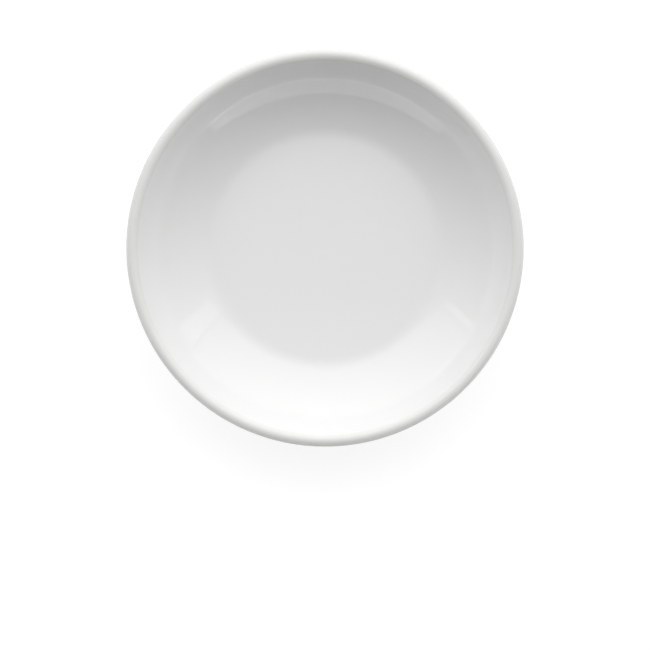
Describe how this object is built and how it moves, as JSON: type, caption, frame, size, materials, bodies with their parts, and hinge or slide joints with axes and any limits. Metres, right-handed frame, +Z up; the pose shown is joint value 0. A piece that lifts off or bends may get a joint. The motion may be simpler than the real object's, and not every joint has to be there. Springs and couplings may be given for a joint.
{
  "type": "soy sauce dish",
  "caption": "Small round footed dish of white glazed porcelain with a flat well, a curved wall and a round lip, for soy sauce and other dips.",
  "frame": {"origin": "centre of the foot ring on the plane that the dish stands on", "axes": "+Z up along the dish's axis of revolution; X and Y are level, and all directions in that plane are alike"},
  "size_m": [0.095, 0.095, 0.0205],
  "materials": {
    "clear_glaze": "glossy clear glaze over white porcelain",
    "bare_porcelain": "matte unglazed porcelain"
  },
  "bodies": {
    "root": {"porcelain_body": "bare_porcelain", "glaze_coat": "clear_glaze", "underside_glaze": "clear_glaze"}
  },
  "joints": []
}
